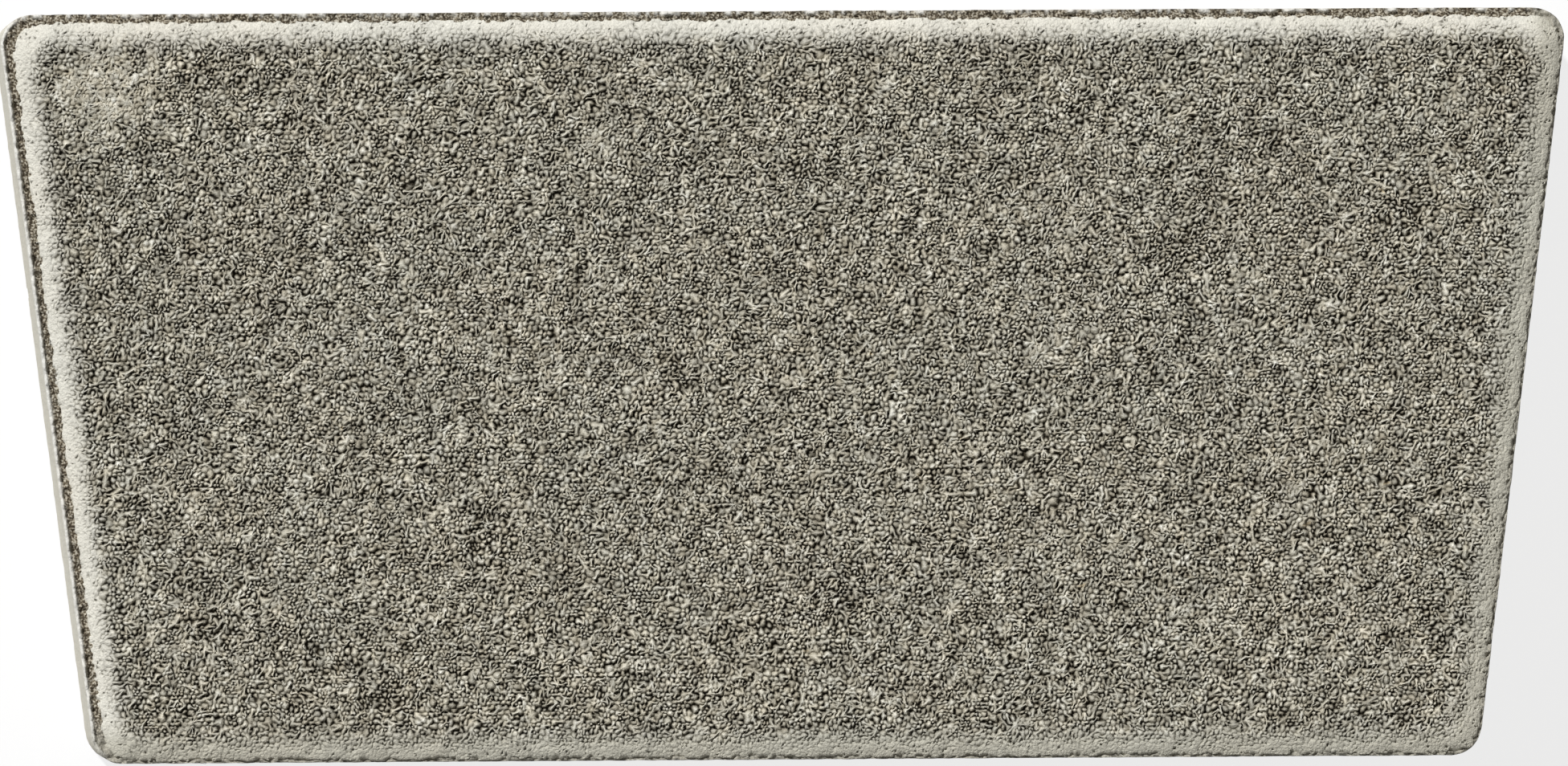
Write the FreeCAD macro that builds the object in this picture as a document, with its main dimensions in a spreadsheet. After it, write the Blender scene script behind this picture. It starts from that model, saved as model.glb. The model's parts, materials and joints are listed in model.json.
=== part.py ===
# Lawn edging stone: one pressed concrete block, a long trapezoid in plan.
# Millimetres, +Z up. The origin is the middle of the underside, X runs along the long edge,
# and +Y points at the back, where the long edge is. The bevelled wearing face looks up.
#
# The mould wall forms the four upright sides. The press tool forms the wearing face and the bevel
# round it. It is a little smaller than the mould, so a narrow land is left along the wall.
# It also sits off centre: the land is wide at the back and left, and narrow at the front and right.

import FreeCAD, Part
import math
import os
import Sketcher

NODE = "edging_stone"

# Driving dimensions: alias, value, what it measures.
SIZES = (
    ("long_side", 250.0, "back edge, between the sharp corners"),
    ("short_side", 220.0, "front edge, between the sharp corners"),
    ("depth", 119.0, "back edge to front edge"),
    ("thickness", 45.0, "underside to wearing face"),
    ("corner_radius", 5.0, "upright corners of the mould"),
    ("bevel_width", 3.6, "bevel in plan"),
    ("bevel_drop", 2.0, "wearing face down to the land"),
    ("land_front", 0.4, "land between mould wall and bevel, front"),
    ("land_right", 0.4, "the same land, right"),
    ("land_back", 1.1, "the same land, back"),
    ("land_left", 1.6, "the same land, left"),
    ("foot_radius", 4.5, "corners at the foot of the bevel"),
    ("face_radius", 3.0, "corners of the wearing face"),
    ("arris_radius", 2.0, "rounding between wearing face and bevel"),
)

# Expressions that several features share. TAPER is how far each leg leans from square,
# and LEG_REACH how far a leg of the mould lies from the middle of the block.
TAPER = "atan((Sizes.long_side - Sizes.short_side) / (2 * Sizes.depth))"
LEG_REACH = f"(Sizes.long_side + Sizes.short_side) / 4 * cos({TAPER})"
HALF_DEPTH = "Sizes.depth / 2"
LAND_LEVEL = "Sizes.thickness - Sizes.bevel_drop"

# The four sides in the order in which a sketch draws them, the two ends of a line or an arc,
# and the sketch's own origin as a constraint names it.
FRONT, RIGHT, BACK, LEFT = range(4)
START, END = range(1, 3)
ORIGIN = (-1, 1)

# How far each side of the press tool's imprint stands in from the mould wall.
LANDS = {
    FRONT: "Sizes.land_front",
    RIGHT: "Sizes.land_right",
    BACK: "Sizes.land_back",
    LEFT: "Sizes.land_left",
}
LEVEL_TOLERANCE = 1e-4
MM3_PER_CM3 = 1000

# First guesses for the sketch solver, good for square corners: a right angle in radians, and how far
# the middle of a corner's arc lies from the sharp corner along each wall, over the arc's radius.
RIGHT_ANGLE = math.pi / 2
ARC_MIDDLE = 1 - math.sqrt(0.5)


def make_sheet(doc):
    """The spreadsheet that holds every driving dimension."""
    sheet = doc.addObject("Spreadsheet::Sheet", "Sizes")
    for row, (alias, value, meaning) in enumerate(SIZES, start=1):
        sheet.set(f"A{row}", meaning)
        sheet.set(f"B{row}", str(value))
        sheet.setAlias(f"B{row}", alias)
    doc.recompute()
    return sheet


def first_guess(sheet):
    """The mould's four walls and the arcs that round its corners, from which the solver starts."""
    half_long, half_short, half_depth = sheet.long_side / 2, sheet.short_side / 2, sheet.depth / 2
    radius = sheet.corner_radius
    corners = [
        FreeCAD.Vector(-half_short, -half_depth, 0),
        FreeCAD.Vector(half_short, -half_depth, 0),
        FreeCAD.Vector(half_long, half_depth, 0),
        FreeCAD.Vector(-half_long, half_depth, 0),
    ]
    lines, arcs = [], []
    for side in (FRONT, RIGHT, BACK, LEFT):
        start, end, beyond = (corners[(side + step) % 4] for step in range(3))
        ahead = (end - start).normalize()
        turned = (beyond - end).normalize()
        bulge = end + (turned - ahead) * radius * ARC_MIDDLE
        lines.append(Part.LineSegment(start + ahead * radius, end - ahead * radius))
        arcs.append(Part.Arc(end - ahead * radius, bulge, end + turned * radius))
    return lines, arcs


def rounded_trapezoid(body, sheet, name, height, insets, radius):
    """A sketch on a level plane, with each side set in from the mould wall by its own inset.

    height, radius and the insets are expressions in the sheet's sizes.
    """
    sketch = body.newObject("Sketcher::SketchObject", name)
    plane = next(feature for feature in body.Origin.OriginFeatures if feature.Role == "XY_Plane")
    sketch.AttachmentSupport = (plane, "")
    sketch.MapMode = "FlatFace"
    sketch.setExpression("AttachmentOffset.Base.z", height)

    lines, arcs = first_guess(sheet)
    sketch.addGeometry(lines + arcs)
    corners = range(len(lines), len(lines) + len(arcs))

    def constrain(*facts):
        return sketch.addConstraint(Sketcher.Constraint(*facts))

    def drive(*facts, by):
        """A constraint whose value follows an expression. The last fact is a first guess at it."""
        sketch.setExpression(f"Constraints[{constrain(*facts)}]", by)

    for side, corner in zip((FRONT, RIGHT, BACK, LEFT), corners):
        constrain("Tangent", side, END, corner, START)
        constrain("Tangent", corner, END, (side + 1) % 4, START)
    for corner in corners[1:]:
        constrain("Equal", corners[0], corner)
    drive("Radius", corners[0], sheet.corner_radius, by=radius)

    half_depth = sheet.depth / 2
    for side in (FRONT, BACK):
        constrain("Horizontal", side)
        drive("Distance", *ORIGIN, side, half_depth, by=f"{HALF_DEPTH} - ({insets[side]})")

    reach = (sheet.long_side + sheet.short_side) / 4
    drive("Angle", FRONT, START, RIGHT, START, RIGHT_ANGLE, by=f"90 deg - {TAPER}")
    drive("Angle", FRONT, START, LEFT, END, RIGHT_ANGLE, by=f"90 deg + {TAPER}")
    for side in (RIGHT, LEFT):
        drive("Distance", *ORIGIN, side, reach, by=f"{LEG_REACH} - ({insets[side]})")
    return sketch


def add_block(body, sheet):
    """The block up to the land, cast against the mould wall."""
    walls = {side: "0" for side in LANDS}
    outline = rounded_trapezoid(body, sheet, "MouldOutline", "0", walls, "Sizes.corner_radius")
    block = body.newObject("PartDesign::Pad", "Block")
    block.Profile = outline
    block.setExpression("Length", LAND_LEVEL)
    return block


def add_imprint(body, sheet):
    """The raised imprint of the press tool: a low frustum with the bevel as its sides."""
    bevel_tops = {side: f"{land} + Sizes.bevel_width" for side, land in LANDS.items()}
    foot = rounded_trapezoid(body, sheet, "BevelFoot", LAND_LEVEL, LANDS, "Sizes.foot_radius")
    face = rounded_trapezoid(
        body, sheet, "WearingFace", "Sizes.thickness", bevel_tops, "Sizes.face_radius"
    )
    imprint = body.newObject("PartDesign::AdditiveLoft", "Imprint")
    imprint.Profile = foot
    imprint.Sections = [face]
    imprint.Ruled = True
    return imprint


def round_arris(body, sheet, imprint):
    """Rounds the arris all the way round the wearing face."""
    level = sheet.thickness

    def on_face(edge):
        return all(abs(vertex.Z - level) < LEVEL_TOLERANCE for vertex in edge.Vertexes)

    names = [f"Edge{i}" for i, edge in enumerate(imprint.Shape.Edges, start=1) if on_face(edge)]
    arris = body.newObject("PartDesign::Fillet", "Arris")
    arris.Base = (imprint, names)
    arris.setExpression("Radius", "Sizes.arris_radius")
    return arris


def make_stone(doc, sheet):
    """The whole block, as one body."""
    stone = doc.addObject("PartDesign::Body", "Stone")
    stone.Label = NODE
    add_block(stone, sheet)
    imprint = add_imprint(stone, sheet)
    doc.recompute()
    round_arris(stone, sheet, imprint)
    doc.recompute()
    return stone


def check(doc, stones):
    """Stops if any feature failed, or if a stone isn't one sound solid."""
    failed = [o.Name for o in doc.Objects if {"Invalid", "Error"} & set(o.State)]
    if failed:
        raise RuntimeError(f"these features failed: {', '.join(failed)}")
    for stone in stones:
        shape = stone.Shape
        if shape.isNull() or not shape.isValid() or len(shape.Solids) != 1:
            raise RuntimeError(f"{stone.Label} is not one valid solid")


def main():
    doc = FreeCAD.newDocument("EdgingStone")
    sheet = make_sheet(doc)
    stones = [make_stone(doc, sheet)]
    check(doc, stones)
    os.makedirs("parts", exist_ok=True)
    for stone in stones:
        stone.Shape.exportStep(f"parts/{stone.Label}.step")
        box = stone.Shape.BoundBox
        size = " x ".join(f"{length:.2f}" for length in (box.XLength, box.YLength, box.ZLength))
        print(f"{stone.Label}: {size} mm, {stone.Shape.Volume / MM3_PER_CM3:.1f} cm3")


main()
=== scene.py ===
# Lawn edging stone seen from above: one pressed concrete block with a sanded wearing face.
# Metres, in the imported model's frame: +Z up, +Y towards the long back edge, origin under the middle.
#
# The block is one closed mesh. The wearing face and its bevel are a shell of sand beads that lies on it,
# in five strips. Under the shell the block's own top is sunk.
import itertools
import json
import math
import bpy
import numpy as np
from mathutils import Matrix, Vector
from mathutils.bvhtree import BVHTree
from mathutils.geometry import delaunay_2d_cdt
from mathutils.kdtree import KDTree


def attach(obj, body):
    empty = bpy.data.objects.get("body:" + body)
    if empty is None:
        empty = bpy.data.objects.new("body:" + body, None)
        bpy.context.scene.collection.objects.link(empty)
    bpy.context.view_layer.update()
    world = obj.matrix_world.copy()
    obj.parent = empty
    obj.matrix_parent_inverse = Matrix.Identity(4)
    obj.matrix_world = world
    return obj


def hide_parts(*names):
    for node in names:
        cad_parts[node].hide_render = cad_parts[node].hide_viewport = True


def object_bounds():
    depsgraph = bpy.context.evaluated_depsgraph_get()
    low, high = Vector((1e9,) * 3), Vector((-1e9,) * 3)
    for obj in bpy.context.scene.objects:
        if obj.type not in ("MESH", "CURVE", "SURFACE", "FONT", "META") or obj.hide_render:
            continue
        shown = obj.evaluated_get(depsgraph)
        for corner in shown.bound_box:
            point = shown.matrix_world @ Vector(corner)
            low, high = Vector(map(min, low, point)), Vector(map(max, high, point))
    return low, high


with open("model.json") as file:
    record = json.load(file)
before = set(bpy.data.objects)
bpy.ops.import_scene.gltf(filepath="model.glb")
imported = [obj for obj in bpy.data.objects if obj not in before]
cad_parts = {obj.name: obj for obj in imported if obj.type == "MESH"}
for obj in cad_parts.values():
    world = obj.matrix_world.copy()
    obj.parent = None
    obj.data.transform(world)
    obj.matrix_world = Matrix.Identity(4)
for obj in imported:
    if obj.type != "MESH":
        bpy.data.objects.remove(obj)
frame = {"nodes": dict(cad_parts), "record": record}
cad_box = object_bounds()

NODE = "edging_stone"
BODY = "root"
MM = 0.001
SEED = 11
rng = np.random.default_rng(SEED)

# The mould and the press tool, as the CAD model has them. What goes by wall starts at the front
# and goes on anticlockwise.
WALL_MOUNTS = ("front_edge", "right_joint", "back_edge", "left_joint")
WALLS = len(WALL_MOUNTS)
CORNER_RADIUS = 5.0 * MM
BEVEL_WIDTH = 3.6 * MM
BEVEL_DROP = 2.0 * MM
LANDS = np.array([0.4, 0.4, 1.1, 1.6]) * MM
FACE_LEVEL = cad_box[1].z
LAND_LEVEL = FACE_LEVEL - BEVEL_DROP


# Noise

# Multipliers and shifts of a common integer hash. WORD keeps 32 bits.
WORD = np.uint64(0xFFFFFFFF)
SEED_FACTOR = 0x9E3779B1
CELL_FACTOR, CELL_SHIFT = np.uint64(0x85EBCA6B), np.uint64(13)
LAST_FACTOR, LAST_SHIFT = np.uint64(0xC2B2AE35), np.uint64(16)
HALF_RANGE = 0x7FFFFFFF


def cell_value(cell, seed):
    """A repeatable number from -1 to 1 for each whole-numbered cell of a grid."""
    hashed = np.full(cell.shape[:-1], (seed * SEED_FACTOR) & int(WORD), np.uint64)
    for axis in range(cell.shape[-1]):
        hashed ^= cell[..., axis].astype(np.uint64) & WORD
        hashed = (hashed * CELL_FACTOR) & WORD
        hashed ^= hashed >> CELL_SHIFT
    hashed = (hashed * LAST_FACTOR) & WORD
    hashed ^= hashed >> LAST_SHIFT
    return hashed.astype(float) / HALF_RANGE - 1


def eased(share):
    """A share from 0 to 1 that leaves 0 and reaches 1 gently."""
    return share * share * (3 - 2 * share)


def noise(points, size, seed):
    """Smooth noise from -1 to 1, with lumps about size across, in as many dimensions as the points."""
    scaled = points / size
    low = np.floor(scaled).astype(np.int64)
    share = eased(scaled - low)
    total = np.zeros(len(points))
    for corner in itertools.product((0, 1), repeat=points.shape[1]):
        weight = np.prod(np.where(corner, share, 1 - share), axis=1)
        total += weight * cell_value(low + np.array(corner), seed)
    return total


def layered_noise(points, layers):
    """The sum of some layers of noise. A layer is its height, the size of its lumps in mm and its seed."""
    return sum(height * noise(points, size * MM, seed) for height, size, seed in layers)


def smooth_step(value, low, high):
    """0 below low, 1 above high and a smooth rise between them."""
    return eased(np.clip((value - low) / (high - low), 0, 1))


# The mould in plan

NO_INSETS = np.zeros(WALLS)
ROW_RATIO = math.sqrt(3) / 2


def mould_walls():
    """Outward direction of each upright wall and its distance from the origin."""
    mounts = {mount["name"]: mount for mount in frame["record"]["mounts"]}
    outward = np.array([mounts[name]["axis"][:2] for name in WALL_MOUNTS], float)
    outward /= np.linalg.norm(outward, axis=1)[:, None]
    places = np.array([mounts[name]["pos_m"][:2] for name in WALL_MOUNTS], float)
    return outward, (outward * places).sum(1)


OUTWARD, REACH = mould_walls()
FOLLOWING = np.roll(OUTWARD, -1, axis=0)


def corner_centres(insets=NO_INSETS):
    """Centre of the rounding between each wall and the next, with the walls moved in by their insets."""
    distances = REACH - insets - CORNER_RADIUS
    pairs = [[wall, (wall + 1) % WALLS] for wall in range(WALLS)]
    return np.array([np.linalg.solve(OUTWARD[pair], distances[pair]) for pair in pairs])


def mould_outline(step):
    """Points round the mould, about step apart and even in number, with the outward direction at each."""
    centres = corner_centres()
    places, directions = [], []
    for wall in range(WALLS):
        start = centres[wall - 1] + OUTWARD[wall] * CORNER_RADIUS
        end = centres[wall] + OUTWARD[wall] * CORNER_RADIUS
        count = 2 * round(np.linalg.norm(end - start) / step / 2)
        along = np.arange(count)[:, None] / count
        places.append(start + (end - start) * along)
        directions.append(np.tile(OUTWARD[wall], (count, 1)))
        turn = math.acos(OUTWARD[wall] @ FOLLOWING[wall])
        count = 2 * round(turn * CORNER_RADIUS / step / 2)
        angles = math.atan2(OUTWARD[wall][1], OUTWARD[wall][0]) + turn * np.arange(count) / count
        arc = np.stack([np.cos(angles), np.sin(angles)], 1)
        places.append(centres[wall] + arc * CORNER_RADIUS)
        directions.append(arc)
    return np.concatenate(places), np.concatenate(directions)


def inset_from_mould(points, insets=NO_INSETS):
    """How far plan points lie inside the mould, with each wall moved in by its own inset."""
    result = (REACH - insets - points @ OUTWARD.T).min(1)
    for centre, near, far in zip(corner_centres(insets), OUTWARD, FOLLOWING):
        local = points - centre
        past_near = near[0] * local[:, 1] - near[1] * local[:, 0] > 0
        before_far = local[:, 0] * far[1] - local[:, 1] * far[0] > 0
        in_corner = past_near & before_far
        result[in_corner] = CORNER_RADIUS - np.linalg.norm(local[in_corner], axis=1)
    return result


def loose_lattice(spacing, wander, margin=0.0):
    """Plan points on a hexagonal lattice over the whole stone, each moved by up to wander steps."""
    half = np.array([cad_box[1].x, cad_box[1].y]) + margin
    columns = np.arange(-half[0], half[0], spacing)
    rows = np.arange(-half[1], half[1], spacing * ROW_RATIO)
    x, y = np.meshgrid(columns, rows)
    x[1::2] += spacing / 2
    points = np.stack([x.ravel(), y.ravel()], 1)
    return points + rng.uniform(-wander, wander, points.shape) * spacing


# The borders between land, bevel and face

# The foot of the bevel. It spreads over the narrow land at the front and on the right. How ragged it is
# and how far it is set in are in millimetres.
FOOT_SPREAD = np.array([0.2, 0.2, 0, 0]) * MM
FOOT_INSETS = LANDS - FOOT_SPREAD
FOOT_RAGGED = ((0.14, 0.9, 23), (0.12, 2.6, 24))
FOOT_SET_IN = 0.1

# Moving points on to the foot: the step that finds the way there, and the share of it that points inside go.
FOOT_PROBE = 0.02 * MM
FOOT_PULL_OUT = 0.7

# Where the open grain starts, from the arris, and where the painted shade on the front and right bevels
# ends, from the wall.
BORDER_RAGGED = ((1.1, 3.5, 21), (0.9, 1.1, 22))
GRAIN_BORDER = np.array([-1.4, 3.0]) * MM
SHADED_SKIN_RAGGED = ((0.8, 2.5, 25),)
SHADED_SKIN_BORDER = np.array([3, 7]) * MM


def arris_inset(points):
    """How far plan points lie inside the wearing face's arris; negative on the bevel and the land."""
    return inset_from_mould(points, LANDS + BEVEL_WIDTH)


def face_share(points):
    """1 on the open grained face and 0 on the smooth skin of the bevel, with a ragged border."""
    return smooth_step(arris_inset(points) + layered_noise(points, BORDER_RAGGED) * MM, *GRAIN_BORDER)


def near_front_or_right(points):
    """1 on the front and the right bevel, which face away from the sun and take painted shade, with a ragged
    border.
    """
    to_wall = (REACH - points @ OUTWARD.T)[:, :2].min(1) + layered_noise(points, SHADED_SKIN_RAGGED) * MM
    return 1 - smooth_step(to_wall, *SHADED_SKIN_BORDER)


def bevel_foot(points):
    """How far plan points lie inside the ragged foot of the bevel; negative on the land."""
    ragged = FOOT_SET_IN + layered_noise(points, FOOT_RAGGED)
    return inset_from_mould(points, FOOT_INSETS) - ragged * MM


def moved_to_foot(points):
    """The plan points moved square to the wall on to the bevel's foot; from inside it, most of the way."""
    inset = inset_from_mould(points, FOOT_INSETS)
    probes = [inset_from_mould(points + step, FOOT_INSETS) for step in np.eye(2) * FOOT_PROBE]
    slope = np.stack([(probe - inset) / FOOT_PROBE for probe in probes], 1)
    beyond = bevel_foot(points)
    shift = np.where(beyond < 0, 1.0, FOOT_PULL_OUT) * beyond
    return points - shift[:, None] * slope


# The CAD stone's own surface

RAY_START = 1.0


def cad_surface():
    """The CAD stone's faces, ready for rays."""
    mesh = frame["nodes"][NODE].data
    return BVHTree.FromPolygons([v.co for v in mesh.vertices], [p.vertices[:] for p in mesh.polygons])


CAD_SURFACE = cad_surface()


def cad_heights(points):
    """Height of the CAD stone's top at each plan point."""
    down = Vector((0, 0, -1))
    hits = [CAD_SURFACE.ray_cast(Vector((x, y, RAY_START)), down)[0] for x, y in points]
    return np.array([hit.z if hit else LAND_LEVEL for hit in hits])


# Meshes

# The kinds of result that Blender's triangulation offers: out to the points' hull, or inside given edges.
TO_HULL, INSIDE_EDGES = 0, 1
TRIANGULATION_TOLERANCE = 1e-9


def add_mesh(name, vertices, triangles, material, sharp=None, **attributes):
    """A smooth-shaded piece that rides on the stone's body, with a number for each vertex per attribute.

    sharp marks vertices: an edge between two of them stays a crease.
    """
    mesh = bpy.data.meshes.new(name)
    mesh.vertices.add(len(vertices))
    mesh.vertices.foreach_set("co", np.asarray(vertices, np.float32).ravel())
    mesh.loops.add(3 * len(triangles))
    mesh.loops.foreach_set("vertex_index", np.asarray(triangles, np.int32).ravel())
    mesh.polygons.add(len(triangles))
    mesh.polygons.foreach_set("loop_start", np.arange(0, 3 * len(triangles), 3, dtype=np.int32))
    mesh.update(calc_edges=True)
    mesh.shade_smooth()
    if sharp is not None:
        ends = np.empty(2 * len(mesh.edges), np.int32)
        mesh.edges.foreach_get("vertices", ends)
        crease = mesh.attributes.new("sharp_edge", "BOOLEAN", "EDGE")
        crease.data.foreach_set("value", sharp[ends.reshape(-1, 2)].all(1))
    for key, values in attributes.items():
        layer = mesh.attributes.new(key, "FLOAT", "POINT")
        layer.data.foreach_set("value", np.asarray(values, np.float32))
    mesh.materials.append(material)
    piece = bpy.data.objects.new(name, mesh)
    bpy.context.scene.collection.objects.link(piece)
    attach(piece, BODY)
    return piece


def triangulated(points, rim_count=0):
    """Delaunay triangles of plan points, inside the ring of the first rim_count points if there is one."""
    rim = [(i, (i + 1) % rim_count) for i in range(rim_count)]
    kind = INSIDE_EDGES if rim else TO_HULL
    found = delaunay_2d_cdt([Vector(p) for p in points], rim, [], kind, TRIANGULATION_TOLERANCE)
    source = np.array([sources[0] for sources in found[3]])
    return source[np.array(found[2])]


def half_edges(triangles):
    """First and last vertex of each side of each triangle, in the direction in which it runs."""
    return triangles.ravel(), np.roll(triangles, -1, axis=1).ravel()


def opposite_half_edges(triangles, count):
    """For each half edge of the triangles, the one that runs the other way, or -1 at the rim."""
    start, end = half_edges(triangles)
    forward, backward = start * count + end, end * count + start
    order = np.argsort(forward)
    place = np.minimum(np.searchsorted(forward[order], backward), len(order) - 1)
    return np.where(forward[order[place]] == backward, order[place], -1)


# The block

COLUMN = 0.45 * MM
RING_INSETS = np.array([0, 0.2, 0.42, 0.65]) * MM
BAND_SPACING, BAND_WANDER = 0.27 * MM, 0.22
BAND_INSET = 3.2 * MM
CORE_SPACING, CORE_WANDER = 5.0 * MM, 0.25
RIM_PROBE = 0.03 * MM

# The rough land, and the block's top under the shell. Depths are in millimetres below the CAD stone.
LAND_DEPTH, LAND_ROUGH = 0.55, ((0.3, 0.9, 5), (0.45, 0.5, 6))
LEAST_DEPTH = 0.03
CORE_DEPTH = 2.4 * MM
CORE_BORDER = np.array([0.3, 1.0]) * MM

# The thin lip that the mould wall drew up: millimetres high, and how much of it each ring has.
LEFT_LIP, LEFT_LIP_RAGGED, LEFT_LIP_RANGE = 0.7, ((0.15, 2.2, 7), (0.2, 0.7, 8)), (0.3, 1.0)
BACK_LIP, BACK_LIP_RAGGED, BACK_LIP_RANGE = -0.1, ((1.1, 0.6, 11),), (0, 0.7)
LIP_FACING = (0.3, 0.9)
LIP_SHARES = (0.1, 0.6, 1.0, 0.35)
# How much of the lip's pale colour, a painted highlight of the raised edge, each ring takes; in full from
# this height of lip.
LIP_HIGHLIGHT_SHARES = (1.0, 1.0, 1.0, 0.4)
FULL_HIGHLIGHT_LIP = 0.5 * MM

# Wear, pores and unevenness, in millimetres.
EDGE_WEAR, EDGE_WEAR_ROUGH = 0.06, ((0.06, 1.6, 9),)
EDGE_CHIPS = ((0.08, 5, 10),)
SIDE_DEPTH, SIDE_ROUGH = 0.05, ((0.05, 1.1, 16),)
DRAG_LINES, DRAG_STRETCH = ((0.04, 1.5, 13),), np.array([1, 1, 0.12])
PORE_DEPTH, PORES, PORE_RIM = 0.45, ((1, 1.9, 14),), (0.45, 0.85)
PORE_FIELDS, PORE_FIELD_RIM = ((1, 9, 15),), (-0.3, 0.5)
SIDE_FOOT, SIDE_FOOT_ROUGH = 0.25, ((0.15, 4, 17),)
SIDE_FOOT_HEIGHT = 0.8 * MM
SIDE_ROWS = 46
COLUMNS_PER_SIDE_COLUMN = 2
BED_SPACING, BED_WANDER = 3.2 * MM, 0.2
BED_HOLLOW, BED_ROUGH = 0.1, ((0.12, 7, 12),)
# How far the land at the front and the right takes the bevels' shaded skin colour, which is painted shade.
LAND_SHADED_SKIN_SHARE = 0.7


def top_relief(points):
    """How far the block's own top lies below the CAD stone's: rough on the land, deep under the face."""
    covered = smooth_step(bevel_foot(points), *CORE_BORDER)
    rough = (LAND_DEPTH + layered_noise(points, LAND_ROUGH)) * MM
    return np.maximum(covered * CORE_DEPTH + (1 - covered) * rough, LEAST_DEPTH * MM)


def lip_height(outline, directions):
    """Height of the lip along the outline: it runs all along the left wall and in bits on the back wall."""
    at_back = smooth_step(directions[:, 1], *LIP_FACING)
    at_left = smooth_step(-directions[:, 0], *LIP_FACING)
    left = np.clip(LEFT_LIP + layered_noise(outline, LEFT_LIP_RAGGED), *LEFT_LIP_RANGE) * at_left
    back = np.clip(BACK_LIP + layered_noise(outline, BACK_LIP_RAGGED), *BACK_LIP_RANGE) * at_back
    return np.maximum(left, back) * MM


def edge_wear(outline):
    """How far the block's upper edge is worn back."""
    chips = np.maximum(layered_noise(outline, EDGE_CHIPS), 0)
    return np.maximum(EDGE_WEAR + layered_noise(outline, EDGE_WEAR_ROUGH) + chips, 0) * MM


def side_relief(places):
    """How far the side lies inside the mould wall: fine drag lines, open pores and a worn foot."""
    drag = layered_noise(places * DRAG_STRETCH, DRAG_LINES)
    in_field = smooth_step(layered_noise(places, PORE_FIELDS), *PORE_FIELD_RIM)
    pores = PORE_DEPTH * smooth_step(layered_noise(places, PORES), *PORE_RIM) * in_field
    depth = np.maximum(SIDE_DEPTH + drag + layered_noise(places, SIDE_ROUGH) + pores, 0)
    at_foot = 1 - smooth_step(places[:, 2], 0, SIDE_FOOT_HEIGHT)
    return (depth + at_foot * (SIDE_FOOT + layered_noise(places, SIDE_FOOT_ROUGH))) * MM


def top_plan(outline, directions):
    """Plan points of the block's top: rings along the wall, a fine band inside them and a coarse core."""
    rings = [outline - directions * inset for inset in RING_INSETS]
    band = loose_lattice(BAND_SPACING, BAND_WANDER)
    inset = inset_from_mould(band)
    band = band[(inset > RING_INSETS[-1] + BAND_SPACING / 2) & (inset < BAND_INSET)]
    core = loose_lattice(CORE_SPACING, CORE_WANDER)
    core = core[inset_from_mould(core) > BAND_INSET + CORE_SPACING / 2]
    return np.concatenate([*rings, band, core])


def top_vertices(plan, outline, directions, lip):
    """The block's top over its plan points, with the lip on its rings and its rim worn back."""
    columns = len(outline)
    height = cad_heights(np.concatenate([outline - directions * RIM_PROBE, plan[columns:]]))
    height = height - top_relief(plan)
    for ring, share in enumerate(LIP_SHARES):
        height[ring * columns : (ring + 1) * columns] += lip * share
    vertices = np.column_stack([plan, height])
    vertices[:columns, :2] -= directions * edge_wear(outline)[:, None]
    return vertices


def side_vertices(outline, directions):
    """The block's sides, in rows from below the land down to the bed."""
    rows = []
    for level in np.linspace(LAND_LEVEL, 0, SIDE_ROWS + 1)[1:]:
        places = np.column_stack([outline, np.full(len(outline), level)])
        relief = side_relief(places)
        places[:, :2] -= directions * relief[:, None]
        rows.append(places)
    return np.concatenate(rows)


def bed_vertices():
    """The slightly hollow underside, inside its rim."""
    bed = loose_lattice(BED_SPACING, BED_WANDER)
    bed = bed[inset_from_mould(bed) > BED_SPACING]
    hollow = np.maximum(BED_HOLLOW + layered_noise(bed, BED_ROUGH), 0) * MM
    return np.column_stack([bed, hollow])


def skirt(upper, lower):
    """Triangles from a ring down to one with half as many vertices."""
    even, odd = upper[::2], upper[1::2]
    after = np.roll(lower, -1)
    return [
        np.stack([even, lower, odd], 1),
        np.stack([odd, lower, after], 1),
        np.stack([odd, after, np.roll(even, -1)], 1),
    ]


def ring_wall(upper, lower):
    """Triangles from a ring down to one with as many vertices."""
    upper_next, lower_next = np.roll(upper, -1), np.roll(lower, -1)
    return [np.stack([upper, lower, lower_next], 1), np.stack([upper, lower_next, upper_next], 1)]


def land_share(count, columns, lip):
    """1 on the land's dark grit and 0 on the lip's pale painted highlight, for each vertex of the top."""
    share = np.ones(count)
    for ring, cover in enumerate(LIP_HIGHLIGHT_SHARES):
        share[ring * columns : (ring + 1) * columns] -= cover * np.clip(lip / FULL_HIGHLIGHT_LIP, 0, 1)
    return share


def build_block(material):
    """The whole block as one closed mesh, standing in for the CAD node."""
    outline, directions = mould_outline(COLUMN)
    side_outline = outline[::COLUMNS_PER_SIDE_COLUMN]
    columns, side_columns = len(outline), len(side_outline)
    lip = lip_height(outline, directions)
    plan = top_plan(outline, directions)
    top = top_vertices(plan, outline, directions, lip)
    sides = side_vertices(side_outline, directions[::COLUMNS_PER_SIDE_COLUMN])
    bed = bed_vertices()

    first_bed = len(top) + len(sides)
    rows = np.arange(len(top), first_bed).reshape(SIDE_ROWS, side_columns)
    triangles = [triangulated(plan, columns), *skirt(np.arange(columns), rows[0])]
    for upper, lower in itertools.pairwise(rows):
        triangles += ring_wall(upper, lower)
    bed_plan = np.concatenate([side_outline, bed[:, :2]])
    bed_index = np.concatenate([rows[-1], first_bed + np.arange(len(bed))])
    triangles.append(bed_index[triangulated(bed_plan, side_columns)][:, ::-1])

    elsewhere = np.zeros(len(sides) + len(bed))
    block = add_mesh(
        "pressed_block",
        np.concatenate([top, sides, bed]),
        np.concatenate(triangles),
        material,
        # land: the land's dark grit, partly painted shade, against the lip's pale painted highlight.
        land=np.concatenate([land_share(len(top), columns, lip), elsewhere]),
        # At the front and the right the land takes the shaded skin colour, painted shade of the sides away
        # from the sun.
        dull=np.concatenate([LAND_SHADED_SKIN_SHARE * near_front_or_right(plan), elsewhere]),
        side=np.concatenate([np.zeros(len(top)), elsewhere + 1]),
    )
    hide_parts(NODE)


# The wearing face and its bevel

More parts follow.
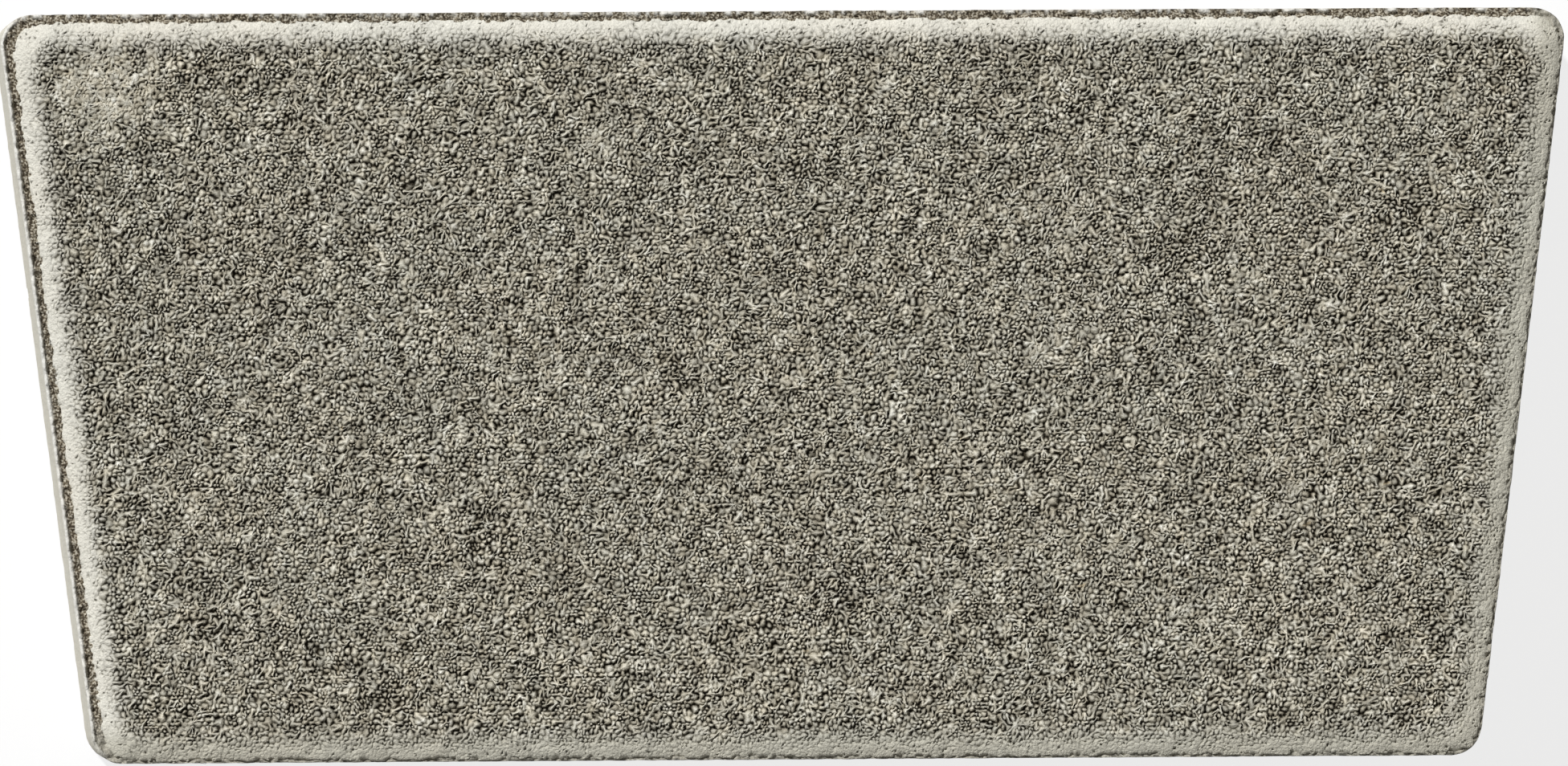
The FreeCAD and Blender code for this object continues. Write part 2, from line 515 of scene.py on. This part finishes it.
# Sizes of the beads: radius in millimetres, and the share that is kept of a whole lattice of them.
BEAD_SIZES = ((0.54, 0.06), (0.43, 0.2), (0.345, 0.5), (0.28, 1.0))
BEAD_WANDER = 0.22
BEAD_DRIFT = (((0.2, 2.6, 41),), ((0.2, 2.6, 42),))
BEAD_MARGIN = 2 * MM
BEAD_OVERLAP = 0.75
BEAD_NEIGHBOURS = 3
USUAL_RADIUS = 0.36 * MM

# Places that stand out, in millimetres: x, y and, for a spot, its radius.
PITTED_SPOTS = (
    (3, 35, 6), (-16, 1, 5), (9, -34, 6), (-48, -23, 6),
    (98, 25, 5), (63, 22, 6), (-63, -50, 5), (98.3, -53.5, 1.5),
)
SMOOTH_SPOTS = (
    (-108, 47, 11), (-103.3, -35.8, 1.2), (105.4, -52.2, 1.8),
    (86.8, 37.6, 1.6), (-30, 38, 3), (40, 5, 2.5),
)
SPOT_RAGGED = ((0.3, 2, 31),)
SPOT_CORE = 0.4
OCHRE_SPECKS = ((-5.2, -2.9), (0.1, 1.8), (17.1, 27.5), (119.7, 19.4))
OCHRE_TINT, HIGHEST_PLAIN_TINT = 1.0, 0.98

# How open the grain is: 1 on the face, less under the smooth skin of the bevel and in smooth spots.
SKIN_OPENNESS, SKIN_NOISE, SKIN_RANGE = 0.14, ((0.12, 2.4, 35),), (0.03, 0.3)
OPEN_BORDER = np.array([-3.0, 1.6]) * MM
LESS_OPEN_IN_SMOOTH = 0.15

# Tips of the beads, in millimetres below the CAD stone where the grain is quite open.
TIP_DEPTH, TIP_NOISE = 0.35, ((0.34, 1.6, 33), (0.034, 3, 34))
TIP_SPREAD = 0.1
TIP_RANGE = (0, 1.1)
TIP_RISE_WITH_RADIUS, MIDDLING_RADIUS = 0.2, 0.45
MISSING, MISSING_IN_PITTED = 0.004, 0.03
MISSING_DEPTH, PITTED_DEPTH = 0.5, 0.04
SKIN_DEPTH = 0.02

# Slits between two beads and pits between three, in bead radii below the tips. A cement film fills some
# of them.
SLIT = (1.5, 2.4)
JOINED_SLIT, JOINED_SHARE = (0.3, 0.8), 0.1
SLIT_BY_DEEP_PIT = 0.35
SHALLOW_PIT, DEEP_PIT = (1.8, 2.7), (3.0, 4.2)
DEEP_ABOVE, DEEP_NOISE = 0.72, ((0.15, 1.4, 46),)
DEEPER_IN_PITTED, SHALLOWER_IN_SMOOTH = 0.3, 0.15
FILLED_IN_SMOOTH = 0.25
FILM, FILM_NOISE, FILM_RIM = 0.4, ((1, 1.0, 44),), (0.1, 0.6)
DEEPEST = 1.9 * MM
RIM_DEPTH = 1.0 * MM

# Pinholes in the bevel's skin: the share of pits that are one, and millimetres deep.
PINHOLE_SHARE, PINHOLE_DEPTH = 0.1, (0.2, 0.6)

# The shade attribute, which darkens the hollows as painted shade and, near 0, leaves a painted highlight on
# the tips: for each millimetre at the tips and the pinholes, and for each bead radius in the slits.
TIP_SHADE, SMOOTH_SHADE = 0.6, 0.12
DEEP_SHADE, SHALLOW_SHADE, PINHOLE_SHADE = 1.0, 0.68, 1.2
SLIT_SHADE, SLIT_SHADE_RANGE = 0.34, (0.25, 0.9)

STRIPS = 5
SHELL_FLOOR = FACE_LEVEL - 4.0 * MM


def near_spots(points, spots):
    """1 in the middle of a spot and 0 outside all of them."""
    share = np.zeros(len(points))
    for x, y, radius in spots:
        distance = np.linalg.norm(points - np.array([x, y]) * MM, axis=1)
        distance = distance + radius * layered_noise(points, SPOT_RAGGED) * MM
        share = np.maximum(share, 1 - smooth_step(distance, SPOT_CORE * radius * MM, radius * MM))
    return share


def clear_of_beads(tries, radius, centres, radii):
    """Whether a bead of that radius fits at each try. Beads may overlap a little."""
    tree = KDTree(len(centres))
    for i, (x, y) in enumerate(centres):
        tree.insert((x, y, 0), i)
    tree.balance()
    clear = []
    for x, y in tries:
        nearest = tree.find_n((x, y, 0), BEAD_NEIGHBOURS)
        clear.append(all(distance > BEAD_OVERLAP * radius + radii[i] for _, i, distance in nearest))
    return np.array(clear)


def bead_packing():
    """Centres and radii of the beads of sand, packed from the largest size down, to beyond the mould."""
    centres, radii = np.zeros((0, 2)), np.zeros(0)
    for radius, share in BEAD_SIZES:
        radius *= MM
        tries = loose_lattice(2 * radius, BEAD_WANDER, margin=BEAD_MARGIN)
        drift = np.stack([layered_noise(tries, layers) for layers in BEAD_DRIFT], 1)
        tries = tries + drift * MM
        tries = tries[rng.random(len(tries)) < share]
        if len(centres):
            tries = tries[clear_of_beads(tries, radius, centres, radii)]
        centres = np.concatenate([centres, tries])
        radii = np.concatenate([radii, np.full(len(tries), radius)])
    return centres, radii


class Beads:
    """The beads of sand, and how they border on each other.

    The triples are the triangles of the beads' Delaunay mesh: three beads round a pit. The half edges are
    the triangles' sides: each runs from one bead to another, across the slit between them, with its own
    triple on the left and a neighbouring one on the right.
    """

    def __init__(self):
        self.centres, self.radii = bead_packing()
        self.count = len(self.centres)
        self.kept = bevel_foot(self.centres) > 0
        along = self.centres[:, 0] / (2 * cad_box[1].x) + 0.5
        self.strip = np.clip(along * STRIPS, 0, STRIPS - 1).astype(int)

        self.triples = triangulated(self.centres)
        self.start, self.end = half_edges(self.triples)
        other = opposite_half_edges(self.triples, self.count)
        half = np.arange(len(other))
        self.inner = other >= 0
        self.left, self.right = half // 3, other // 3
        self.edge = np.minimum(half, np.where(self.inner, other, half))

        self.pitted = near_spots(self.centres, PITTED_SPOTS)
        self.smooth = near_spots(self.centres, SMOOTH_SPOTS)
        self.open = self.openness()

    def openness(self):
        """How open the grain is at each bead."""
        skin = np.clip(SKIN_OPENNESS + layered_noise(self.centres, SKIN_NOISE), *SKIN_RANGE)
        on_face = smooth_step(arris_inset(self.centres), *OPEN_BORDER)
        return (skin + (1 - skin) * on_face) * (1 - LESS_OPEN_IN_SMOOTH * self.smooth)

    def on_triples(self, values):
        """The mean of the three beads of each triple."""
        return values[self.triples].mean(1)

    def on_edges(self, values):
        """The mean of the two beads of each half edge."""
        return (values[self.start] + values[self.end]) / 2

    def everywhere(self, values):
        """The beads' values, then those of the triples and of the half edges."""
        return np.concatenate([values, self.on_triples(values), self.on_edges(values)])

    def edge_draw(self, low=0.0, high=1.0):
        """A random number for each edge, the same one for both of its half edges."""
        return rng.uniform(low, high, len(self.edge))[self.edge]

    def rim(self):
        """Which half edges and which triples lie between kept beads and others."""
        rim_edge = self.inner & (self.kept[self.start] != self.kept[self.end])
        rim_triple = self.kept[self.triples].any(1) & ~self.kept[self.triples].all(1)
        return rim_edge, rim_triple


def gap_places(beads):
    """Plan places of the triples' pits and of the half edges' slits. A larger bead pushes them out."""
    weight = (1 / beads.radii)[:, None]
    weighted = beads.centres * weight
    pit = weighted[beads.triples].sum(1) / weight[beads.triples].sum(1)
    between = weighted[beads.start] + weighted[beads.end]
    between = between / (weight[beads.start] + weight[beads.end])
    between_pits = (pit[beads.left] + pit[beads.right]) / 2
    slit = (between + between_pits) / 2
    return pit, slit


def clear_of_film(points):
    """1, and less where a thicker cement film fills the slits and beads merge into lumps."""
    return 1 - FILM * smooth_step(layered_noise(points, FILM_NOISE), *FILM_RIM)


def tip_depths(beads):
    """How far each bead's tip lies below the CAD stone's top. A few beads are missing."""
    missing = rng.random(beads.count) < MISSING + MISSING_IN_PITTED * beads.pitted
    swell = layered_noise(beads.centres, TIP_NOISE)
    depth = TIP_DEPTH + swell + rng.uniform(-TIP_SPREAD, TIP_SPREAD, beads.count)
    depth = depth + PITTED_DEPTH * beads.pitted + MISSING_DEPTH * missing
    depth = depth - TIP_RISE_WITH_RADIUS * (beads.radii / MM - MIDDLING_RADIUS)
    return (SKIN_DEPTH + beads.open * np.clip(depth, *TIP_RANGE)) * MM


def deep_pits(beads, pit_place):
    """Whether each pit is a deep one. Pitted spots have more of them, and smooth spots fewer."""
    odds = beads.on_triples(DEEPER_IN_PITTED * beads.pitted - SHALLOWER_IN_SMOOTH * beads.smooth)
    return rng.random(len(pit_place)) + layered_noise(pit_place, DEEP_NOISE) + odds > DEEP_ABOVE


def slits(beads, slit_place, deep):
    """Which half edges join their two beads, and the depth of the slit at each in bead radii."""
    same_strip = beads.strip[beads.start] == beads.strip[beads.end]
    joined = (beads.edge_draw() < JOINED_SHARE) & same_strip
    usual = beads.edge_draw(*SLIT) * clear_of_film(slit_place)
    usual = usual + SLIT_BY_DEEP_PIT * deep[beads.left] + SLIT_BY_DEEP_PIT * deep[beads.right]
    slit = np.where(joined, beads.edge_draw(*JOINED_SLIT), usual)
    return joined, slit * (1 - FILLED_IN_SMOOTH * beads.smooth[beads.start])


def pinholes_and_pits(beads, pit_place, deep):
    """Depth of the pinhole in millimetres, and of the pit in bead radii, for each triple."""
    count = len(pit_place)
    has_pinhole = rng.random(count) < PINHOLE_SHARE
    pinhole = np.where(has_pinhole, rng.uniform(*PINHOLE_DEPTH, count), 0)
    pinhole = pinhole * (1 - beads.on_triples(beads.open))
    filled = 1 - FILLED_IN_SMOOTH * beads.on_triples(beads.smooth)
    shallow = rng.uniform(*SHALLOW_PIT, count) * clear_of_film(pit_place) * filled
    return pinhole, np.where(deep, rng.uniform(*DEEP_PIT, count), shallow)


def gap_depths(beads, tip, slit, pit, pinhole):
    """How far the pits and the slits lie below the CAD stone's top, measured down from the lowest tip."""
    slit_radius = np.sqrt(beads.on_edges(beads.radii) * USUAL_RADIUS)
    pit_radius = np.sqrt(beads.on_triples(beads.radii) * USUAL_RADIUS)
    lower_tip = np.maximum(tip[beads.start], tip[beads.end])
    slit_depth = lower_tip + beads.on_edges(beads.open) * slit * slit_radius
    lowest_tip = tip[beads.triples].max(1)
    pit_depth = lowest_tip + beads.on_triples(beads.open) * pit * pit_radius + pinhole * MM
    return np.minimum(pit_depth, DEEPEST), np.minimum(slit_depth, DEEPEST)


def ochre_tints(beads, tint):
    """The beads' tints, with the bead nearest each ochre speck made ochre."""
    tint = np.minimum(tint, HIGHEST_PLAIN_TINT)
    for speck in OCHRE_SPECKS:
        tint[np.argmin(np.linalg.norm(beads.centres - np.array(speck) * MM, axis=1))] = OCHRE_TINT
    return tint


def face_attributes(beads, plan, tip, slit, deep, pinhole):
    """What the material reads at each tip, then at each pit and at each slit."""
    pit_shade = np.where(deep, DEEP_SHADE, SHALLOW_SHADE) * beads.on_triples(beads.open)
    # Painted shade: deeper tips, pits, pinholes and slits darker; tips near 0 take a painted highlight.
    shade = [
        TIP_SHADE * beads.open * tip / MM + SMOOTH_SHADE * beads.smooth,
        pit_shade + PINHOLE_SHADE * pinhole,
        np.clip(SLIT_SHADE * slit, *SLIT_SHADE_RANGE) * beads.on_edges(beads.open),
    ]
    tone, tint = rng.random((2, beads.count))
    return {
        "shade": np.concatenate(shade),
        "open": beads.everywhere(face_share(beads.centres)),
        # Painted shade on the front and right bevels, which face away from the sun.
        "dull": near_front_or_right(plan),
        "tone": beads.everywhere(tone),
        "tint": beads.everywhere(ochre_tints(beads, tint)),
    }


def dome_patches(beads):
    """Two triangles for each half edge that leaves a kept bead, and the strip that they belong to.

    Each bead's dome runs down from its tip to the pits and the slits round it. The tips are numbered first,
    then the pits, then the slits.
    """
    use = beads.inner & beads.kept[beads.start]
    tip = beads.start[use]
    left = beads.count + beads.left[use]
    right = beads.count + beads.right[use]
    slit = beads.count + len(beads.triples) + beads.edge[use]
    patches = np.stack([np.stack([tip, right, slit], 1), np.stack([tip, slit, left], 1)], 1)
    return patches, beads.strip[tip]


def closed_below(top, triangles):
    """A surface with walls down from its rim and a flat underside, and the rim's vertex numbers.

    The underside is a fan round one vertex in its middle.
    """
    count = len(top)
    start, end = half_edges(triangles)
    at_rim = opposite_half_edges(triangles, count) < 0
    start, end = start[at_rim], end[at_rim]
    rim = np.unique(start)
    lower = np.full(count, -1)
    lower[rim] = count + np.arange(len(rim))
    under = np.column_stack([top[rim, :2], np.full(len(rim), SHELL_FLOOR)])
    hub = np.array([[*top[:, :2].mean(0), SHELL_FLOOR]])
    walls = [
        np.stack([lower[start], lower[end], end], 1),
        np.stack([lower[start], end, start], 1),
    ]
    fan = np.stack([lower[end], lower[start], np.full(len(start), count + len(rim))], 1)
    return np.concatenate([top, under, hub]), np.concatenate([triangles, *walls, fan]), rim


def add_strip(name, chosen, plan, depth, creased, attributes, material):
    """One strip of the face, closed below, from its share of the patches."""
    used, triangles = np.unique(chosen, return_inverse=True)
    top = np.column_stack([plan[used], cad_heights(plan[used]) - depth[used]])
    vertices, triangles, rim = closed_below(top, triangles.reshape(-1, 3))
    added = len(vertices) - len(top)
    sharp = np.concatenate([creased[used], np.ones(added, bool)])
    sharp[rim] = True
    values = {key: np.concatenate([numbers[used], np.zeros(added)]) for key, numbers in attributes.items()}
    add_mesh(name, vertices, triangles, material, sharp, **values)


def build_face(material):
    """The sanded face and the bevel: beads under a cement film, parted by slits or run together."""
    beads = Beads()
    tip = tip_depths(beads)
    pit_place, slit_place = gap_places(beads)
    deep = deep_pits(beads, pit_place)
    joined, slit = slits(beads, slit_place, deep)
    pinhole, pit = pinholes_and_pits(beads, pit_place, deep)
    pit_depth, slit_depth = gap_depths(beads, tip, slit, pit, pinhole)

    # The shell ends at the foot of the bevel, where it goes down to the land.
    rim_edge, rim_triple = beads.rim()
    slit_place[rim_edge] = moved_to_foot(slit_place[rim_edge])
    pit_place[rim_triple] = moved_to_foot(pit_place[rim_triple])
    slit_depth[rim_edge] = RIM_DEPTH
    pit_depth[rim_triple] = RIM_DEPTH

    plan = np.concatenate([beads.centres, pit_place, slit_place])
    depth = np.concatenate([tip, pit_depth, slit_depth])
    creased = np.concatenate([np.zeros(beads.count, bool), np.ones(len(pit), bool), ~joined | rim_edge])
    attributes = face_attributes(beads, plan, tip, slit, deep, pinhole)
    patches, strip = dome_patches(beads)
    for number in range(STRIPS):
        chosen = patches[strip == number].reshape(-1, 3)
        add_strip(f"wearing_face_{number + 1}", chosen, plan, depth, creased, attributes, material)


# Materials

NOISE_LOW, NOISE_HIGH = 0.3, 0.7


def new_material(name):
    """An empty material and its node tree."""
    material = bpy.data.materials.new(name)
    material.use_nodes = True
    tree = material.node_tree
    tree.nodes.clear()
    return material, tree


def add_node(tree, kind, inputs=None, **settings):
    """A node with its settings and its inputs, each by name or number, as a value or as a link."""
    made = tree.nodes.new("ShaderNode" + kind)
    for key, value in settings.items():
        setattr(made, key, value)
    for key, value in (inputs or {}).items():
        if isinstance(value, bpy.types.NodeSocket):
            tree.links.new(value, made.inputs[key])
        else:
            made.inputs[key].default_value = value
    return made


def noise_map(tree, place, size, low, high, detail=2.0):
    """Noise with lumps about size across, spread from low to high."""
    raw = add_node(tree, "TexNoise", {"Vector": place, "Scale": 1 / size, "Detail": detail})
    spread = {
        "Value": raw.outputs["Fac"],
        "From Min": NOISE_LOW,
        "From Max": NOISE_HIGH,
        "To Min": low,
        "To Max": high,
    }
    return add_node(tree, "MapRange", spread).outputs["Result"]


def mixed(tree, share, first, second, blend="MIX"):
    """A colour between two others, or the first multiplied by the second."""
    inputs = {0: share, 6: first, 7: second}
    return add_node(tree, "Mix", inputs, data_type="RGBA", blend_type=blend).outputs[2]


def attribute(tree, name):
    """A number that the mesh carries for each vertex."""
    return add_node(tree, "Attribute", attribute_name=name).outputs["Fac"]


def ramp(tree, share, stops):
    """A colour ramp through the given (place, colour) stops."""
    made = add_node(tree, "ValToRGB", {"Fac": share})
    elements = made.color_ramp.elements
    while len(elements) < len(stops):
        elements.new(0.5)
    for element, (place, colour) in zip(elements, stops):
        element.position = place
        element.color = (*colour, 1)
    return made.outputs["Color"]


# Colours of the cement skin, the skin of the front and right bevels darkened as painted shade, the lip made
# pale as a painted highlight, the sides, and the land's grit, dark brown partly of its own and partly as
# painted shade of the lip.
SKIN = (0.47, 0.457, 0.419, 1)
SHADED_SKIN = (0.385, 0.372, 0.325, 1)
LIP = (0.64, 0.63, 0.6, 1)
SIDE = (0.55, 0.53, 0.47, 1)
GRIT_AND_PAINTED_SHADE = (
    (0.0, (0.04, 0.03, 0.02)),
    (0.35, (0.12, 0.1, 0.07)),
    (0.65, (0.2, 0.17, 0.125)),
    (1.0, (0.42, 0.39, 0.33)),
)
GRIT_SIZE, GRIT_RANGE, GRIT_DETAIL = 0.36 * MM, (-0.25, 1.25), 0.5

# Painted light on the beads: factors on a bead's colour, by its shade attribute. Above 1 at the tips is a
# painted highlight; below 1 in the slits, pits and pinholes is painted shade.
PAINTED_SHADE_AND_HIGHLIGHT = (
    (0.04, (1.42, 1.42, 1.41)),
    (0.3, (1.04, 1.04, 1.03)),
    (0.52, (0.64, 0.63, 0.6)),
    (0.78, (0.07, 0.06, 0.042)),
)

# Colours of the grains, by their tone attribute, and factors on them, by their tint attribute.
TONES = (
    (0.0, (0.39, 0.37, 0.32)),
    (0.5, (0.56, 0.54, 0.475)),
    (0.9, (0.66, 0.64, 0.58)),
    (1.0, (0.82, 0.81, 0.76)),
)
TINTS = (
    (0.0, (0.98, 0.99, 1.01)),
    (0.3, (1, 1, 1)),
    (0.97, (1.02, 0.985, 0.93)),
    (1.0, (1.3, 0.95, 0.4)),
)

# What every concrete surface shares: size, low and high of each noise.
PATCHES = (28 * MM, 0.98, 1.02)
SPECKLE = (0.22 * MM, 0.86, 1.14)
ROUGHNESS = (0.5 * MM, 0.82, 0.97)
WARMTH_SIZE = 17 * MM
WARM, COOL = (1.01, 1.0, 0.97, 1), (0.99, 1.0, 0.99, 1)
SPECULAR = 0.25

# Bumps: size of the lumps and height.
BLOCK_BUMPS = ((0.9 * MM, 0.12 * MM), (0.4 * MM, 0.07 * MM))
GRAIN_BUMPS = ((0.32 * MM, 0.08 * MM),)
DOME_BUMP, DOME_SHADES = 0.13 * MM, (0.1, 0.95)


def bumped(tree, height, distance, normal=None):
    """The normal with a bump from a height of 0 to 1, on top of an earlier one if there is one."""
    inputs = {"Height": height, "Distance": distance, "Strength": 1.0}
    if normal is not None:
        inputs["Normal"] = normal
    return add_node(tree, "Bump", inputs).outputs["Normal"]


def finish_concrete(tree, colour, place, bumps, normal=None):
    """Adds what every concrete surface shares: soft patches, fine speckle, bump and the shader."""
    patches = noise_map(tree, place, *PATCHES)
    warmth = noise_map(tree, place, WARMTH_SIZE, 0.0, 1.0)
    colour = mixed(tree, 1.0, colour, mixed(tree, warmth, WARM, COOL), "MULTIPLY")
    speckle = noise_map(tree, place, *SPECKLE)
    brightness = add_node(tree, "Math", {0: patches, 1: speckle}, operation="MULTIPLY").outputs[0]
    channels = {"Red": brightness, "Green": brightness, "Blue": brightness}
    grey = add_node(tree, "CombineColor", channels).outputs[0]
    colour = mixed(tree, 1.0, colour, grey, "MULTIPLY")
    for size, distance in bumps:
        normal = bumped(tree, noise_map(tree, place, size, 0.0, 1.0), distance, normal)
    finish = {
        "Base Color": colour,
        "Roughness": noise_map(tree, place, *ROUGHNESS),
        "Normal": normal,
        "Specular IOR Level": SPECULAR,
    }
    shader = add_node(tree, "BsdfPrincipled", finish)
    output = add_node(tree, "OutputMaterial")
    tree.links.new(shader.outputs["BSDF"], output.inputs["Surface"])


def block_material():
    """Dark brown grit on the land, partly its own colour and partly painted shade of the lip, greyer at the
    front and the right where it takes the bevels' painted shade; a lip made pale as a painted highlight, and
    grey sides.
    """
    material, tree = new_material("pressed_concrete")
    place = add_node(tree, "TexCoord").outputs["Object"]
    # The land's grit: partly its own dark brown, partly painted shade where the lip shades the land.
    grit_and_painted_shade = ramp(tree, noise_map(tree, place, GRIT_SIZE, *GRIT_RANGE, detail=GRIT_DETAIL), GRIT_AND_PAINTED_SHADE)
    # The lip's pale colour is a painted highlight.
    colour = mixed(tree, attribute(tree, "land"), LIP, grit_and_painted_shade)
    # Painted shade at the front and the right, which face away from the sun.
    colour = mixed(tree, attribute(tree, "dull"), colour, SHADED_SKIN)
    colour = mixed(tree, attribute(tree, "side"), colour, SIDE)
    finish_concrete(tree, colour, place, BLOCK_BUMPS)
    return material


def sand_material():
    """Sand grains in many greys on the face, cement skin on the bevel, painted shade in the hollows between
    beads with painted highlights on their tips, and painted shade on the front and right bevels.
    """
    material, tree = new_material("sanded_face")
    place = add_node(tree, "TexCoord").outputs["Object"]
    tone = ramp(tree, attribute(tree, "tone"), TONES)
    tint = ramp(tree, attribute(tree, "tint"), TINTS)
    grain = mixed(tree, 1.0, tone, tint, "MULTIPLY")
    # Painted shade on the front and right bevels, which face away from the sun.
    skin = mixed(tree, attribute(tree, "dull"), SKIN, SHADED_SKIN)
    plain = mixed(tree, attribute(tree, "open"), skin, grain)
    # Painted highlights on the tips and painted shade in the hollows, by the shade attribute.
    colour = mixed(tree, 1.0, plain, ramp(tree, attribute(tree, "shade"), PAINTED_SHADE_AND_HIGHLIGHT), "MULTIPLY")

    low, high = DOME_SHADES
    shade = attribute(tree, "shade")
    dome = {"Value": shade, "From Min": low, "From Max": high, "To Min": 1.0, "To Max": 0.0}
    height = add_node(tree, "MapRange", dome, interpolation_type="SMOOTHSTEP").outputs["Result"]
    finish_concrete(tree, colour, place, GRAIN_BUMPS, bumped(tree, height, DOME_BUMP))
    return material


# Camera, light and floor

CAMERA_PLACE = Vector((-0.205, 0.0, 4.1869))
CAMERA_AIM = Vector((-0.00026, 0.00036, LAND_LEVEL))
CAMERA_ROLL = math.radians(-0.33)
LENS = 600.0
CLIP_START, CLIP_END = 0.1, 20.0

SUN_ELEVATION = math.radians(47)
SUN_LEFT_OF_BACK = math.radians(39)
SUN_STRENGTH = 3.93
SUN_WIDTH = math.radians(4)
FILL = 0.15
FILL_COLOUR = (1.0, 0.965, 0.89, 1)

WHITE = (1, 1, 1, 1)
FLOOR_GREY = (0.85, 0.85, 0.85, 1)
FLOOR_GLOW = 0.8
FLOOR_HALF = 6.0


def add_camera():
    """A long lens almost straight above, turned so that the back edge is at the top."""
    camera = bpy.data.cameras.new("camera")
    camera.lens = LENS
    camera.clip_start = CLIP_START
    camera.clip_end = CLIP_END
    placed = bpy.data.objects.new("camera", camera)
    back = (CAMERA_PLACE - CAMERA_AIM).normalized()
    right = Vector((0, 1, 0)).cross(back).normalized()
    level = Matrix((right, back.cross(right), back)).transposed()
    turned = level @ Matrix.Rotation(CAMERA_ROLL, 3, "Z")
    placed.matrix_world = Matrix.Translation(CAMERA_PLACE) @ turned.to_4x4()
    bpy.context.scene.collection.objects.link(placed)
    bpy.context.scene.camera = placed


def add_sun():
    """One soft-edged lamp from the back left."""
    lamp = bpy.data.lights.new("key", "SUN")
    lamp.energy = SUN_STRENGTH
    lamp.angle = SUN_WIDTH
    placed = bpy.data.objects.new("key", lamp)
    flat = math.cos(SUN_ELEVATION)
    towards = Vector(
        (-math.sin(SUN_LEFT_OF_BACK) * flat, math.cos(SUN_LEFT_OF_BACK) * flat, math.sin(SUN_ELEVATION))
    )
    placed.rotation_mode = "QUATERNION"
    placed.rotation_quaternion = towards.to_track_quat("Z", "Y")
    bpy.context.scene.collection.objects.link(placed)


def seen_directly(tree):
    """1 where the camera, a reflection or a view through glass sees this, and 0 for plain light."""
    path = add_node(tree, "LightPath")
    seen = path.outputs["Is Camera Ray"]
    for other in ("Is Glossy Ray", "Is Transmission Ray"):
        seen = add_node(tree, "Math", {0: seen, 1: path.outputs[other]}, operation="MAXIMUM").outputs[0]
    return seen


def add_world():
    """An even fill, and a white background behind the floor."""
    world = bpy.data.worlds.new("studio")
    world.use_nodes = True
    tree = world.node_tree
    tree.nodes.clear()
    fill = add_node(tree, "Background", {"Color": FILL_COLOUR, "Strength": FILL})
    white = add_node(tree, "Background", {"Color": WHITE, "Strength": 1.0})
    either = add_node(tree, "MixShader", {0: seen_directly(tree), 1: fill.outputs[0], 2: white.outputs[0]})
    output = add_node(tree, "OutputWorld")
    tree.links.new(either.outputs[0], output.inputs["Surface"])
    bpy.context.scene.world = world


def add_floor():
    """A plain pale floor that keeps a faint shadow."""
    material, tree = new_material("floor")
    plain = add_node(tree, "BsdfDiffuse", {"Color": FLOOR_GREY})
    glow = add_node(tree, "Emission", {"Color": WHITE, "Strength": 1.0})
    share = add_node(tree, "Math", {0: seen_directly(tree), 1: FLOOR_GLOW}, operation="MULTIPLY").outputs[0]
    either = add_node(tree, "MixShader", {0: share, 1: plain.outputs[0], 2: glow.outputs[0]})
    output = add_node(tree, "OutputMaterial")
    tree.links.new(either.outputs[0], output.inputs["Surface"])
    mesh = bpy.data.meshes.new("floor")
    corners = [(x * FLOOR_HALF, y * FLOOR_HALF, 0) for x, y in ((-1, -1), (1, -1), (1, 1), (-1, 1))]
    mesh.from_pydata(corners, [], [(0, 1, 2, 3)])
    mesh.materials.append(material)
    floor = bpy.data.objects.new("floor", mesh)
    bpy.context.scene.collection.objects.link(floor)


add_camera()
add_sun()
add_world()
add_floor()
build_block(block_material())
build_face(sand_material())

bpy.context.scene.view_settings.view_transform = "Standard"
